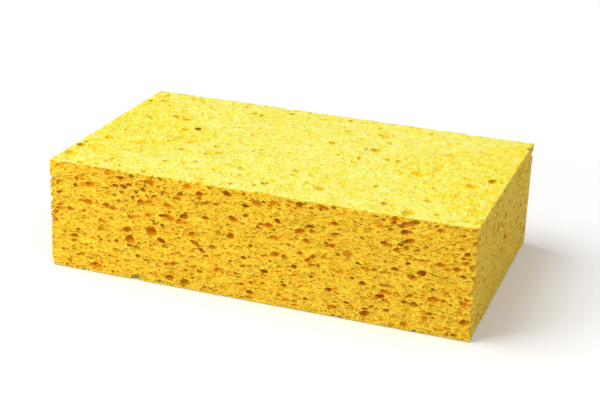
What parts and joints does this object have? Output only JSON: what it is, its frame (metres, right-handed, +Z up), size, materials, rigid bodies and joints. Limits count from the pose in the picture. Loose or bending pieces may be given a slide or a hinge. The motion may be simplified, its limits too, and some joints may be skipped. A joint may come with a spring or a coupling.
{
  "type": "cleaning sponge",
  "caption": "Rectangular block of foamed cellulose with open cells on every face, for wiping and washing by hand.",
  "frame": {"origin": "middle of the largest face, which the block rests on", "axes": "+X along the length, +Y along the width, +Z up through the thickness"},
  "size_m": [0.19, 0.114, 0.05],
  "materials": {
    "cellulose_foam": "matt, open-celled foam"
  },
  "bodies": {
    "root": {"sponge": "cellulose_foam"}
  },
  "joints": []
}
